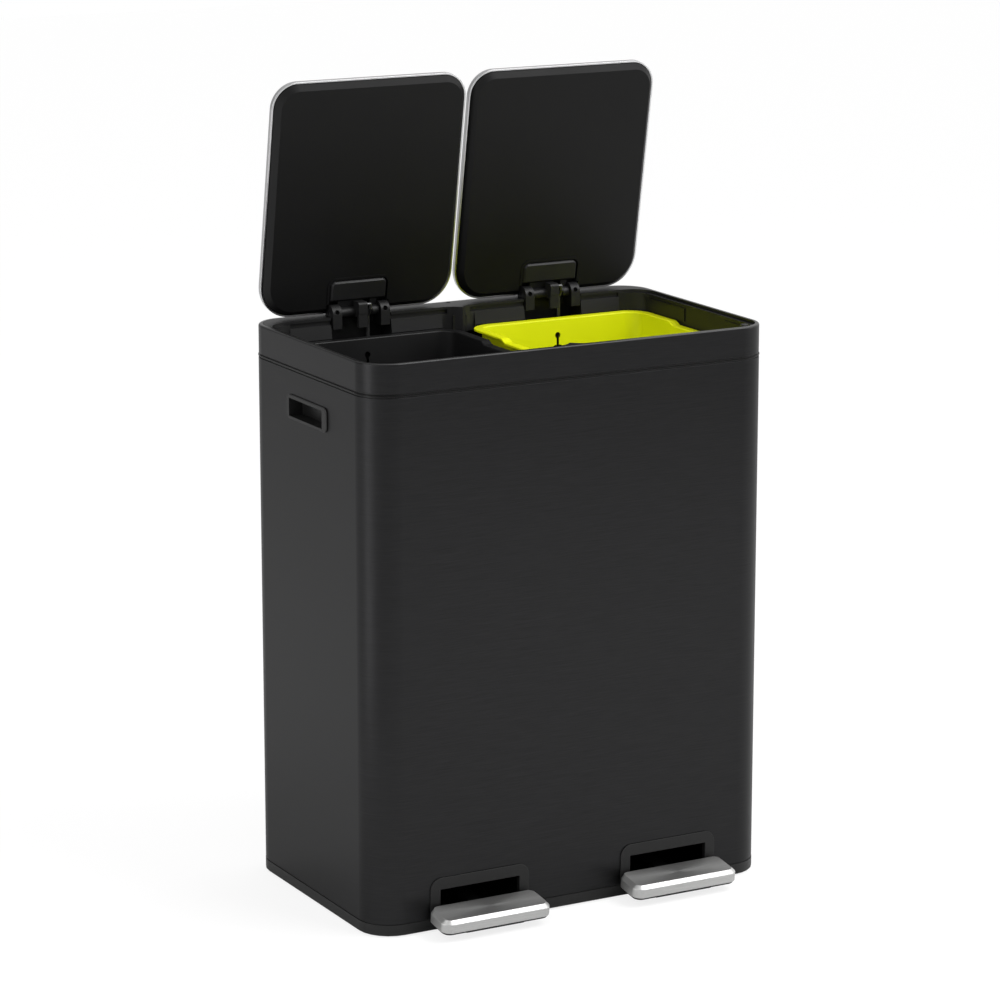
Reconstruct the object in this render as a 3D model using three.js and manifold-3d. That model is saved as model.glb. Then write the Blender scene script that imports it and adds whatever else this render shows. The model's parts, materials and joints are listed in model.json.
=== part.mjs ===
// A double recycling bin: one steel housing, two lift-out buckets, two lids, each opened by its own pedal.
// Millimetres, +Z up, +X to the right along the front. The bin is shown as used: both pedals down, both lids open.
import * as THREE from "three";
import { mergeVertices } from "three/addons/utils/BufferGeometryUtils.js";
import Module from "manifold-3d";

const wasm = await Module();
wasm.setup();

// ---------------------------------------------------------------- driving dimensions

const GAP = 0.3; // running gap between two pieces that meet
const ARC = 6; // straight pieces in a quarter round of an outline

// housing
const BODY_W = 500;
const BODY_D = 304;
const BODY_R = 38; // plan corner radius
const RIM_Z = 636; // top of the rim
const SHEET = 0.6; // sheet steel of housing, rim and lids
const SHELL_TOP = 598.7;
const SHELL_BOTTOM = 15;
const RIM_BAND_H = 32.2;
const RIM_BAND_STEP = 0.3; // the rim band stands this much inside the housing's face
const RIM_ROUND = 2.2; // rounded top edge of the rim
const RIM_LEDGE = 5; // width of the folded top of the rim
const TRIM_H = 1.7; // thin trim ring between housing and rim
const TRIM_PROUD = 0.4;

// base
const BASE_BOTTOM = 1.5;
const BASE_TOP = 14;
const BASE_PROUD = 0.3;
const BASE_WALL = 2;
const BASE_FLOOR = 2.5;
const BASE_SPIGOT_TOP = 34;
const FOOT_R = 11;
const FOOT_INSET = 52;
const FLOOR_TOP = 52; // the shelf the buckets stand on
const FLOOR_H = 2.5;
const COLUMN = 16;

// collar: the black frame inside the rim
const COLLAR_BOTTOM = 585;
const COLLAR_WALL_BOTTOM = 606;
const SPIGOT_WALL = 2;
const COLLAR_EDGE = 10; // from the housing's outer face to the sides and front of the openings
const COLLAR_STEP = 3.6; // the collar's narrow edge beside the openings lies this much below the rim
const REAR_LEDGE = 32; // from the back face to the rear edge of the openings
const OPENING_R = 28;
const OPENING_OVERLAP = 6; // how far each opening's corner circle runs past the middle
const LIP_H = 8; // upright edge of the openings, above the panels
const GROOVE_H = 5; // shadow groove between the lip and the rear panels
const GROOVE_DEPTH = 2;
const PANEL_STEP = 1.2;
const PANEL_SLOPE = 3; // how far the rear panels lean in at the bottom
const PANEL_BOTTOM = 612.6;
const SIDE_PANEL_REAR = [17, 107];
const SIDE_PANEL_FRONT = [-114, -68];
const POST_W = 18; // flat post between the two openings
const POST_TOP = 626;
const POST_FRONT = 37; // from the back face
const PLUG_R = 2;
const PLUG_INSET = 8; // from the back face
const BUMPER = [8, 8, 6]; // reach from the wall, along it, up
const BUMPER_SETBACK = 34; // from the front face

// lids
const LID_SIDE_INSET = 8;
const LID_FRONT_INSET = 11.1;
const LID_SPACING = 3.8; // gap between the two lids
const LID_REAR_OVERHANG = 2.9; // behind the hinge axis
const LID_R_FRONT = 30;
const LID_R_REAR = 39;
const LID_EDGE_ROUND = 5;
const LID_SKIRT = 2.5;
const LID_HEM = 2;
const LID_PANEL_DROP = 7.5; // from the hem down to the panel's face
const LID_PANEL_CHAMFER = 6;
const LID_PANEL_FACE = 1.9; // panel face above the hinge axis, closed
const LID_PANEL_WALL = 2.2;
const LID_OPEN = THREE.MathUtils.degToRad(80.14); // from level to the open stop
const LID_SHUT_LEAN = THREE.MathUtils.degToRad(1.86); // shut, the front edge lies this much below level

// hinges
const HINGE_INSET = 126.5; // from the housing's side to the hinge's middle
const HINGE_SETBACK = 23.7; // from the back face to the hinge axis
const HINGE_RISE = 3; // above the rim
const CHEEK_R = 10;
const CHEEK_W = 11.3;
const CHEEK_OUTER = 35.75;
const CHEEK_BOTTOM = 16.5; // below the hinge axis
const CHEEK_HOLE_R = 2.7;
const CHEEK_HOLE_DEPTH = 4.5;
const WELL_CLEAR = 1.8;
const WEB_BACK = 11.7;
const WEB_H = 2.5;
const WEB_BOTTOM = 15;
const PIN_R = 2.5;
const KNUCKLE_R = 6;
const LUG_W = 11;
const LUG_FRONT = 14.3; // lug face before the hinge axis
const LUG_BOTTOM = 16.2;
const LUG_SKIN = 2; // left at the end of the hook's hole
const LUG_STEP = 0.8;
const LUG_STEP_Z = -0.5;
const LUG_LEG = 5;
const LUG_REACH = 13.8; // hinge axis to the push rod's hook
const LEAF_NEAR = 13;
const LEAF_FAR = 37;
const LEAF_W = 70;
const LEAF_PROUD = 1.5;
const LEAF_CHAMFER = 2.5;
const LEAF_R = 6;
const POCKET_MARGIN = 3.7; // from the leaf to the outside of the raised lip round it
const POCKET_GAP = 1.2;
const POCKET_LIP = 0.7; // above the panel's face
const POCKET_DEPTH = 9.4;
const POCKET_WALL = 1.5;

// push rods
const ROD_R = 2.25;
const ROD_X = 10; // from the hinge centre
const ROD_BEND = [5, 14]; // the step back starts and ends this far below the hook
const ROD_BUCKET_CLEAR = 1.2;
const ROD_COLLAR_R = 5;
const ROD_COLLAR_H = 3;
const ROD_PLAY = 1.1; // between the lever and the rod's collar
const ROD_TAIL = 9;

// pedals
const PEDAL_INSET = 129.7; // from the housing's side to the pedal's middle
const PEDAL_ANGLE = THREE.MathUtils.degToRad(8);
const PEDAL_W = 134;
const PEDAL_D = 42;
const PEDAL_R = 11;
const PEDAL_SKIRT = 10;
const PEDAL_BEVEL = [4.7, 4]; // across, up
const PEDAL_SHEET = 1.2;
const PEDAL_CLEAR = 1; // from the bezel, pedal down
const PEDAL_TOP = 11.8; // above the lever's centre line
const CARRIER_PROUD = 3;
const CARRIER_INSET = 1.6;
const SHOE = [75, 12, 3]; // rubber strip under the pedal
const LEVER_W = 16;
const LEVER_H = 5;
const LEVER_TIP = 9; // from the pedal's front edge
const LEVER_PIVOT_Z = 40;
const LEVER_PLATE_D = 18;
const LEVER_HUB_R = 6.5;
const AXLE_R = 3;
const BRACKET_W = 3;
const BRACKET_L = 24;
const BRACKET_TOP = 47;

// pedal slots and their bezels
const SLOT_W = 98.5;
const SLOT_TOP = 46.8;
const BEZEL_SIDE = 12.25;
const BEZEL_TOP = 13.4;
const BEZEL_R = 13;
const BEZEL_H = 1.2;
const BEZEL_SLEEVE = [2, 5]; // wall, depth

// handle cups
const CUP_Y = 1.5;
const CUP_Z = 558.3;
const CUP_OPEN = [81, 20];
const CUP_DEPTH = 15;
const CUP_WALL = 2;
const CUP_FLANGE_Y = -1;
const CUP_FLANGE_Z = 558.8;
const CUP_FLANGE = [98, 27.5, 2]; // along, up, thick
const CUP_FLANGE_R = 6.5;

// buckets
const BUCKET_SIDE_CLEAR = 12; // from the housing's outer face
const BUCKET_FRONT_CLEAR = 13;
const BUCKET_REAR_CLEAR = 35;
const BUCKET_SPLIT = 15; // between the two buckets
const BUCKET_R = 28;
const BUCKET_TOP = 612;
const BUCKET_WALL = 2;
const BUCKET_FLANGE = 9;
const BUCKET_FLANGE_H = 2.5;
const BUCKET_DRAFT = 10;
const BUCKET_GRIP = [-62, 34]; // lowered stretch of the side rims, for the fingers
const BUCKET_GRIP_DIP = 4;
const BUCKET_GRIP_RAMP = 12;
const KEY_EYE = [3.6, 593];
const KEY_SLOT_W = 3.3;
const KEY_HOLE = [13, 569];

// ---------------------------------------------------------------- places worked out from them

const FRONT = -BODY_D / 2;
const BACK = BODY_D / 2;
const SHELL_INNER = SHEET + GAP; // inset of what fits inside the housing
const HINGE_X = BODY_W / 2 - HINGE_INSET;
const PEDAL_X = BODY_W / 2 - PEDAL_INSET;
const HINGE_Y = BACK - HINGE_SETBACK;
const HINGE_Z = RIM_Z + HINGE_RISE;
const OPENING_REAR = BACK - REAR_LEDGE;
const BUCKET_REAR = BACK - BUCKET_REAR_CLEAR;
const CHEEK_INNER = CHEEK_OUTER - CHEEK_W;
const WELL_HALF = CHEEK_OUTER + WELL_CLEAR;
const LID_HEM_Z = LID_PANEL_FACE + LID_PANEL_DROP;
const LID_EDGE_Z = LID_HEM_Z + LID_SKIRT;
const LID_TOP_Z = LID_EDGE_Z + LID_EDGE_ROUND;
const ROD_TRAVEL = 2 * LUG_REACH * Math.sin(LID_OPEN / 2);
const ROD_SWING = LUG_REACH * (1 - Math.cos(LID_OPEN / 2));
const ROD_Y = BUCKET_REAR + ROD_BUCKET_CLEAR + ROD_SWING + ROD_R;
const LEVER_REAR = ROD_TRAVEL / (2 * Math.sin(PEDAL_ANGLE / 2));
const LEVER_PIVOT_Y = ROD_Y - LEVER_REAR / Math.cos(PEDAL_ANGLE);
const BEZEL_FACE = FRONT - GAP - BEZEL_H;
const BUMPER_Y = FRONT + BUMPER_SETBACK;

// ---------------------------------------------------------------- finishes

const finish = (color, roughness, metalness) =>
  new THREE.MeshStandardMaterial({ color, roughness, metalness });
const blackSteel = finish(0x2b2b2c, 0.38, 0.9);
const edgeSteel = finish(0xb9babb, 0.32, 1);
const pedalSteel = finish(0xc4c4c3, 0.3, 1);
const wireSteel = finish(0x9b9c9d, 0.35, 1);
const blackPlastic = finish(0x1d1d1e, 0.55, 0);
const lidPlastic = finish(0x19191a, 0.6, 0);
const limePlastic = finish(0xc6cf08, 0.45, 0);
const rubber = finish(0x151515, 0.85, 0);

// ---------------------------------------------------------------- shaping helpers

// The closed solid that a geometry bounds.
function solid(geometry) {
  const bare = geometry.clone();
  bare.deleteAttribute("normal");
  bare.deleteAttribute("uv");
  const merged = mergeVertices(bare, 1e-4);
  return new wasm.Manifold(
    new wasm.Mesh({
      numProp: 3,
      vertProperties: merged.attributes.position.array,
      triVerts: new Uint32Array(merged.index.array),
    }),
  );
}

// A solid as a geometry that can be drawn.
function drawn(made) {
  const mesh = made.getMesh();
  const geometry = new THREE.BufferGeometry();
  geometry.setAttribute("position", new THREE.BufferAttribute(mesh.vertProperties, 3));
  geometry.setIndex(new THREE.BufferAttribute(mesh.triVerts, 1));
  geometry.computeVertexNormals();
  return geometry;
}

const join = (first, ...rest) => rest.reduce((sum, next) => sum.add(next), first);
const cut = (first, ...rest) => rest.reduce((sum, next) => sum.subtract(next), first);

function box([x0, x1], [y0, y1], [z0, z1]) {
  const geometry = new THREE.BoxGeometry(x1 - x0, y1 - y0, z1 - z0);
  return solid(geometry.translate((x0 + x1) / 2, (y0 + y1) / 2, (z0 + z1) / 2));
}

// A round bar between two points.
function bar(from, to, radius, sides = 16) {
  const a = new THREE.Vector3(...from);
  const b = new THREE.Vector3(...to);
  const geometry = new THREE.CylinderGeometry(radius, radius, a.distanceTo(b), sides);
  const turn = new THREE.Quaternion().setFromUnitVectors(
    new THREE.Vector3(0, 1, 0),
    b.clone().sub(a).normalize(),
  );
  geometry.applyQuaternion(turn);
  const middle = a.add(b).multiplyScalar(0.5);
  return solid(geometry.translate(middle.x, middle.y, middle.z));
}

// A bent wire: straight runs with a round elbow at each bend.
function wire(points, radius) {
  const runs = points.slice(1).map((point, i) => bar(points[i], point, radius, 10));
  const elbows = points
    .slice(1, -1)
    .map((point) => solid(new THREE.SphereGeometry(radius, 10, 8).translate(...point)));
  return join(...runs, ...elbows);
}

// A flat outline in the y-z plane, as thick as the x range.
function plate(points, [x0, x1]) {
  const shape = new THREE.Shape(points.map(([y, z]) => new THREE.Vector2(y, z)));
  const geometry = new THREE.ExtrudeGeometry(shape, { depth: x1 - x0, bevelEnabled: false });
  geometry.rotateX(Math.PI / 2);
  geometry.rotateZ(Math.PI / 2);
  return solid(geometry.translate(x0, 0, 0));
}

// A rounded rectangle that can be drawn again smaller and at another height.
class Outline {
  constructor({ x = [0, 0], y = [0, 0], r = 1, rFront = r, rBack = r, stops = [] }) {
    Object.assign(this, { x, y, rFront, rBack, stops });
  }

  // Points of the outline moved in by inset, at height z; lift changes the height along y.
  ring(inset, z, lift = () => 0) {
    const [x0, x1] = [this.x[0] + inset, this.x[1] - inset];
    const [y0, y1] = [this.y[0] + inset, this.y[1] - inset];
    const points = [];
    const corner = (cx, cy, radius, start) => {
      for (let i = 0; i <= ARC; i++) {
        const angle = start + (i / ARC) * (Math.PI / 2);
        points.push([cx + radius * Math.cos(angle), cy + radius * Math.sin(angle)]);
      }
    };
    const front = Math.max(this.rFront - inset, 0.8);
    const back = Math.max(this.rBack - inset, 0.8);
    corner(x1 - back, y1 - back, back, 0);
    corner(x0 + back, y1 - back, back, Math.PI / 2);
    for (const y of [...this.stops].reverse()) points.push([x0, y]);
    corner(x0 + front, y0 + front, front, Math.PI);
    corner(x1 - front, y0 + front, front, 1.5 * Math.PI);
    for (const y of this.stops) points.push([x1, y]);
    return points.map(([x, y]) => new THREE.Vector3(x, y, z + lift(y)));
  }
}

// A skin over a row of rings, closed by flat ends, or by joining the last ring to the first.
function loft(rings, looped = false) {
  const count = rings[0].length;
  const positions = rings.flat().flatMap((point) => point.toArray());
  const faces = [];
  const last = looped ? rings.length : rings.length - 1;
  for (let i = 0; i < last; i++) {
    const here = i * count;
    const there = ((i + 1) % rings.length) * count;
    for (let k = 0; k < count; k++) {
      const next = (k + 1) % count;
      faces.push(here + k, here + next, there + next, here + k, there + next, there + k);
    }
  }
  const end = (ring, offset, up) => {
    const flat = ring.map((point) => new THREE.Vector2(point.x, point.y));
    for (const face of THREE.ShapeUtils.triangulateShape(flat, [])) {
      const [a, b, c] = face.map((k) => flat[k]);
      const turn = (b.x - a.x) * (c.y - a.y) - (b.y - a.y) * (c.x - a.x);
      const order = turn > 0 === up ? face : [face[0], face[2], face[1]];
      faces.push(...order.map((k) => k + offset));
    }
  };
  if (!looped) {
    end(rings[0], 0, false);
    end(rings.at(-1), (rings.length - 1) * count, true);
  }
  const geometry = new THREE.BufferGeometry();
  geometry.setAttribute("position", new THREE.Float32BufferAttribute(positions, 3));
  geometry.setIndex(faces);
  return geometry;
}

// An upright block with the outline's plan.
const block = (outline, inset, [z0, z1]) =>
  solid(loft([outline.ring(inset, z0), outline.ring(inset, z1)]));

function piece(name, shape, material, parent) {
  const geometry = shape.isBufferGeometry ? shape : drawn(shape);
  const mesh = new THREE.Mesh(geometry, material);
  mesh.name = name;
  parent.add(mesh);
  return mesh;
}

const bodyPlan = new Outline({
  x: [-BODY_W / 2, BODY_W / 2],
  y: [FRONT, BACK],
  r: BODY_R,
});
const SIDES = [
  ["left", -1],
  ["right", 1],
];

// ---------------------------------------------------------------- housing

const bezelOutline = (side) => {
  const half = SLOT_W / 2 + BEZEL_SIDE;
  return [side * PEDAL_X - half, side * PEDAL_X + half];
};
const slotSpan = (side, grow = 0) => [
  side * PEDAL_X - SLOT_W / 2 - grow,
  side * PEDAL_X + SLOT_W / 2 + grow,
];
const cupSpan = (grow) => [
  [CUP_Y - CUP_OPEN[0] / 2 - grow, CUP_Y + CUP_OPEN[0] / 2 + grow],
  [CUP_Z - CUP_OPEN[1] / 2 - grow, CUP_Z + CUP_OPEN[1] / 2 + grow],
];

// The wrapped steel shell, open above and below, with the slots for pedals and hand cups.
function bodyShell() {
  const walls = solid(
    loft(
      [
        bodyPlan.ring(0, SHELL_BOTTOM),
        bodyPlan.ring(0, SHELL_TOP - SHEET),
        bodyPlan.ring(SHEET, SHELL_TOP),
        bodyPlan.ring(SHEET, SHELL_BOTTOM),
      ],
      true,
    ),
  );
  const slots = SIDES.map(([, side]) =>
    box(
      slotSpan(side, BEZEL_SLEEVE[0] + GAP),
      [FRONT - 5, FRONT + 5],
      [SHELL_BOTTOM - 5, SLOT_TOP + BEZEL_SLEEVE[0] + GAP],
    ),
  );
  const [cupY, cupZ] = cupSpan(CUP_WALL + GAP);
  const cups = SIDES.map(([, side]) =>
    box([(side * BODY_W) / 2 - 5, (side * BODY_W) / 2 + 5], cupY, cupZ),
  );
  return cut(walls, ...slots, ...cups);
}

// The steel rim: an upright band with its top folded flat to the inside.
function rimBand() {
  const bottom = RIM_Z - RIM_BAND_H;
  const bend = Array.from({ length: 4 }, (_, i) => {
    const angle = (i / 3) * (Math.PI / 2);
    return [
      RIM_BAND_STEP + RIM_ROUND * (1 - Math.cos(angle)),
      RIM_Z - RIM_ROUND * (1 - Math.sin(angle)),
    ];
  });
  const inside = RIM_BAND_STEP + SHEET;
  const band = loft(
    [
      bodyPlan.ring(RIM_BAND_STEP, bottom),
      ...bend.map(([inset, z]) => bodyPlan.ring(inset, z)),
      bodyPlan.ring(RIM_LEDGE, RIM_Z),
      bodyPlan.ring(RIM_LEDGE, RIM_Z - SHEET),
      bodyPlan.ring(RIM_BAND_STEP + RIM_ROUND, RIM_Z - SHEET),
      bodyPlan.ring(inside, RIM_Z - RIM_ROUND),
      bodyPlan.ring(inside, bottom),
    ],
    true,
  );
  return solid(band);
}

const plugBar = (radius, depth) =>
  bar([0, BACK - PLUG_INSET, RIM_Z - depth], [0, BACK - PLUG_INSET, RIM_Z + 0.6], radius, 12);

function trimRing() {
  const middle = (SHELL_TOP + RIM_Z - RIM_BAND_H) / 2;
  const [z0, z1] = [middle - TRIM_H / 2, middle + TRIM_H / 2];
  return loft(
    [
      bodyPlan.ring(-TRIM_PROUD, z0),
      bodyPlan.ring(-TRIM_PROUD, z1),
      bodyPlan.ring(RIM_BAND_STEP + SHEET, z1),
      bodyPlan.ring(RIM_BAND_STEP + SHEET, z0),
    ],
    true,
  );
}

// The black frame inside the rim: ledge, lip and panels round two openings, with a well for each hinge.
function collar() {
  const inset = RIM_BAND_STEP + SHEET + GAP;
  const under = RIM_Z - SHEET - GAP;
  const wallTop = COLLAR_WALL_BOTTOM;
  const ring = solid(
    loft([
      bodyPlan.ring(inset, COLLAR_BOTTOM),
      bodyPlan.ring(inset, under - RIM_ROUND),
      bodyPlan.ring(inset + RIM_ROUND, under),
    ]),
  );
  const ledge = block(bodyPlan, RIM_LEDGE + GAP, [under - 1, RIM_Z]);
  const opening = (side, edge) =>
    new Outline({
      x: [
        side < 0 ? -BODY_W / 2 + edge : -OPENING_OVERLAP,
        side < 0 ? OPENING_OVERLAP : BODY_W / 2 - edge,
      ],
      y: [FRONT + edge, OPENING_REAR],
      r: OPENING_R,
    });
  const lipBottom = RIM_Z - LIP_H;
  const openings = SIDES.flatMap(([, side]) => [
    block(opening(side, COLLAR_EDGE), 0, [wallTop - 1, RIM_Z + 1]),
    block(opening(side, RIM_LEDGE + 2 * GAP), 0, [RIM_Z - COLLAR_STEP, RIM_Z + 1]),
  ]);
  const hollow = block(bodyPlan, inset + SPIGOT_WALL, [COLLAR_BOTTOM - 1, wallTop]);

  // panels below the lip: flat strips on the side walls and leaning ones at the rear
  const wallX = BODY_W / 2 - COLLAR_EDGE;
  const sidePanels = SIDES.flatMap(([, side]) =>
    [SIDE_PANEL_REAR, SIDE_PANEL_FRONT].map(([y0, y1]) => {
      const face = side * (wallX - PANEL_STEP);
      const root = side * (wallX + 2);
      return box(
        [Math.min(face, root), Math.max(face, root)],
        [y0, Math.min(y1, OPENING_REAR - OPENING_R + 10)],
        [PANEL_BOTTOM, lipBottom],
      );
    }),
  );
  const rearFace = [
    [OPENING_REAR + 1, lipBottom],
    [OPENING_REAR, lipBottom],
    [OPENING_REAR - PANEL_SLOPE + 0.4, PANEL_BOTTOM],
    [OPENING_REAR + 1, PANEL_BOTTOM],
  ];
  const panelEnd = wallX - OPENING_R;
  const groove = box(
    [-panelEnd, panelEnd],
    [OPENING_REAR - 1, OPENING_REAR + GROOVE_DEPTH],
    [lipBottom, lipBottom + GROOVE_H],
  );
  const rearPanels = SIDES.map(([, side]) =>
    plate(rearFace, side < 0 ? [-panelEnd, -POST_W / 2 - 12] : [POST_W / 2 + 12, panelEnd]),
  );
  const postDepth = [BACK - POST_FRONT, OPENING_REAR + 2];
  const middlePost = box([-POST_W / 2, POST_W / 2], postDepth, [wallTop, POST_TOP]);

  const wells = SIDES.map(([, side]) =>
    box(
      [side * HINGE_X - WELL_HALF, side * HINGE_X + WELL_HALF],
      [OPENING_REAR - 12, BACK - 6],
      [COLLAR_BOTTOM - 1, RIM_Z + 1],
    ),
  );
  const plug = plugBar(PLUG_R + GAP, 4);
  const frame = cut(join(ring, ledge), ...openings, hollow);
  return cut(join(frame, ...sidePanels, ...rearPanels, middlePost), groove, ...wells, plug);
}

// A rubber stop on the collar's side wall, for the lid's panel to come down on.
function bumper(side) {
  const wall = BODY_W / 2 - COLLAR_EDGE - GAP - 1.1; // the corner's curve starts here
  const reach = BUMPER[0];
  const lidFace = HINGE_Z + LID_PANEL_FACE + (BUMPER_Y - HINGE_Y) * Math.sin(LID_SHUT_LEAN);
  const plan = new Outline({
    x: side < 0 ? [-wall, -wall + reach] : [wall - reach, wall],
    y: [BUMPER_Y - BUMPER[1] / 2, BUMPER_Y + BUMPER[1] / 2],
    r: 2,
  });
  const top = lidFace - GAP;
  const bottom = top - BUMPER[2];
  return loft([plan.ring(1, bottom), plan.ring(0, bottom + 1), plan.ring(0, top - 1), plan.ring(1, top)]);
}

// A recessed hand cup with its flange on the housing's side.
function handleCup(side) {
  const face = (side * BODY_W) / 2;
  const span = (a, b) => [Math.min(face + side * a, face + side * b), Math.max(face + side * a, face + side * b)];
  const flangePlan = new Outline({
    x: [CUP_FLANGE_Y - CUP_FLANGE[0] / 2, CUP_FLANGE_Y + CUP_FLANGE[0] / 2],
    y: [CUP_FLANGE_Z - CUP_FLANGE[1] / 2, CUP_FLANGE_Z + CUP_FLANGE[1] / 2],
    r: CUP_FLANGE_R,
  });
  const edge = 0.8;
  const flange = loft([
    flangePlan.ring(0, GAP),
    flangePlan.ring(0, CUP_FLANGE[2] - edge),
    flangePlan.ring(edge, CUP_FLANGE[2]),
  ]);
  flange.rotateX(Math.PI / 2);
  flange.rotateZ(Math.PI / 2);
  if (side < 0) flange.rotateZ(Math.PI).translate(0, 2 * CUP_FLANGE_Y, 0);
  flange.translate(face, 0, 0);
  const [outerY, outerZ] = cupSpan(CUP_WALL);
  const [innerY, innerZ] = cupSpan(0);
  const tray = box(span(-CUP_DEPTH - CUP_WALL, GAP + 0.5), outerY, outerZ);
  const hollow = box(span(-CUP_DEPTH, CUP_FLANGE[2] + 1), innerY, innerZ);
  return cut(join(solid(flange), tray), hollow);
}

// The frame round a pedal slot: a flat face outside and a short sleeve through the steel.
function pedalBezel(side) {
  const [x0, x1] = bezelOutline(side);
  const top = SLOT_TOP + BEZEL_TOP;
  const shape = new THREE.Shape();
  shape.moveTo(x0, BASE_TOP + 1);
  shape.lineTo(x1, BASE_TOP + 1);
  shape.lineTo(x1, top - BEZEL_R);
  shape.absarc(x1 - BEZEL_R, top - BEZEL_R, BEZEL_R, 0, Math.PI / 2);
  shape.absarc(x0 + BEZEL_R, top - BEZEL_R, BEZEL_R, Math.PI / 2, Math.PI);
  shape.lineTo(x0, BASE_TOP + 1);
  const face = new THREE.ExtrudeGeometry(shape, {
    depth: BEZEL_H,
    bevelEnabled: false,
    curveSegments: ARC,
  });
  face.rotateX(Math.PI / 2).translate(0, FRONT - GAP, 0);
  const [wall, depth] = BEZEL_SLEEVE;
  const bottom = BASE_TOP + 1;
  const sleeve = box(slotSpan(side, wall), [FRONT - GAP - 0.5, FRONT + depth], [bottom, SLOT_TOP + wall]);
  const mouth = box(slotSpan(side), [FRONT - 10, FRONT + 10], [bottom - 1, SLOT_TOP]);
  return cut(join(solid(face), sleeve), mouth);
}

// ---------------------------------------------------------------- base

// The moulded base: an outer ring, a floor and a collar that stands inside the steel.
function baseTray() {
  const inner = SHELL_INNER;
  const tray = solid(
    loft([
      bodyPlan.ring(-BASE_PROUD + 1, BASE_BOTTOM),
      bodyPlan.ring(-BASE_PROUD, BASE_BOTTOM + 1),
      bodyPlan.ring(-BASE_PROUD, BASE_TOP),
      bodyPlan.ring(inner, BASE_TOP),
      bodyPlan.ring(inner, BASE_SPIGOT_TOP),
      bodyPlan.ring(inner + BASE_WALL, BASE_SPIGOT_TOP),
      bodyPlan.ring(inner + BASE_WALL, BASE_BOTTOM + BASE_FLOOR),
    ]),
  );
  const gates = SIDES.map(([, side]) =>
    box(
      slotSpan(side, BEZEL_SLEEVE[0] + GAP),
      [FRONT - 1, FRONT + BEZEL_SLEEVE[1] + 1],
      [BASE_TOP, BASE_SPIGOT_TOP + 1],
    ),
  );
  return cut(tray, ...gates);
}

// A folded steel bracket on the base's floor, with an ear on each side of the lever.
function leverBracket(side) {
  const near = LEVER_W / 2 + 2 * GAP;
  const far = near + BRACKET_W;
  const x = side * PEDAL_X;
  const floor = BASE_BOTTOM + BASE_FLOOR + GAP;
  const y = [LEVER_PIVOT_Y - BRACKET_L / 2, LEVER_PIVOT_Y + BRACKET_L / 2];
  const foot = box([x - far, x + far], y, [floor, floor + BRACKET_W]);
  const leftEar = box([x - far, x - near], y, [floor, BRACKET_TOP]);
  const rightEar = box([x + near, x + far], y, [floor, BRACKET_TOP]);
  return cut(join(foot, leftEar, rightEar), axleBar(side, AXLE_R + GAP, 3));
}

const axleBar = (side, radius, extra) => {
  const half = LEVER_W / 2 + 2 * GAP + BRACKET_W + extra;
  return bar(
    [side * PEDAL_X - half, LEVER_PIVOT_Y, LEVER_PIVOT_Z],
    [side * PEDAL_X + half, LEVER_PIVOT_Y, LEVER_PIVOT_Z],
    radius,
  );
};

// The shelf that the buckets stand on, with legs under it and notches for the push rods.
function bucketShelf() {
  const plan = block(bodyPlan, SHELL_INNER + GAP, [FLOOR_TOP - FLOOR_H, FLOOR_TOP]);
  const notches = SIDES.map(([, side]) => {
    const x = side * HINGE_X + ROD_X;
    return box([x - 3 * ROD_R, x + 3 * ROD_R], [BUCKET_REAR - 4, BACK], [FLOOR_TOP - 10, FLOOR_TOP + 10]);
  });
  const legs = [-1, 0, 1].flatMap((column) =>
    [FRONT + FOOT_INSET / 2, BACK - FOOT_INSET].map((y) => {
      const x = column * (BODY_W / 2 - FOOT_INSET / 2);
      return box(
        [x - COLUMN / 2, x + COLUMN / 2],
        [y - COLUMN / 2, y + COLUMN / 2],
        [BASE_BOTTOM + BASE_FLOOR + GAP, FLOOR_TOP - 1],
      );
    }),
  );
  return cut(join(plan, ...legs), ...notches);
}

// ---------------------------------------------------------------- hinges and lids

// The fixed half of a hinge: two round-topped cheeks on a web, with a slot for the lid's lug.
function hingeBlock(side) {
  const x = side * HINGE_X;
  const cheek = (hand) => {
    const span = [
      x + (hand < 0 ? -CHEEK_OUTER : CHEEK_INNER),
      x + (hand < 0 ? -CHEEK_INNER : CHEEK_OUTER),
    ];
    const round = Array.from({ length: 13 }, (_, i) => {
      const angle = (i / 12) * Math.PI;
      return [HINGE_Y + CHEEK_R * Math.cos(angle), HINGE_Z + CHEEK_R * Math.sin(angle)];
    });
    const outline = [
      ...round,
      [HINGE_Y - CHEEK_R, HINGE_Z - CHEEK_BOTTOM],
      [HINGE_Y + WEB_BACK, HINGE_Z - CHEEK_BOTTOM],
      [HINGE_Y + WEB_BACK, RIM_Z],
      [HINGE_Y + CHEEK_R, RIM_Z],
    ];
    const middle = (span[0] + span[1]) / 2;
    const screwHole = bar(
      [middle, HINGE_Y - CHEEK_R - 1, HINGE_Z + 2.5],
      [middle, HINGE_Y - CHEEK_R + CHEEK_HOLE_DEPTH, HINGE_Z + 2.5],
      CHEEK_HOLE_R,
      12,
    );
    return cut(plate(outline, span), screwHole);
  };
  const half = WELL_HALF - GAP;
  const webFront = HINGE_Y + WEB_BACK - WEB_H;
  const web = box([x - half, x + half], [webFront, webFront + WEB_H], [HINGE_Z - WEB_BOTTOM, RIM_Z]);
  const strip = box([x - half, x + half], [webFront, BACK - 6 - GAP], [RIM_Z - 3, RIM_Z]);
  const slot = box(
    [x - LUG_W / 2 - 1, x + LUG_W / 2 + 1],
    [webFront - 1, webFront + WEB_H + 3],
    [HINGE_Z - WEB_BOTTOM - 1, RIM_Z - 3],
  );
  const bore = bar([x - CHEEK_OUTER - 1, HINGE_Y, HINGE_Z], [x + CHEEK_OUTER + 1, HINGE_Y, HINGE_Z], PIN_R + GAP);
  return cut(join(cheek(-1), cheek(1), web, strip), slot, bore);
}

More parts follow.
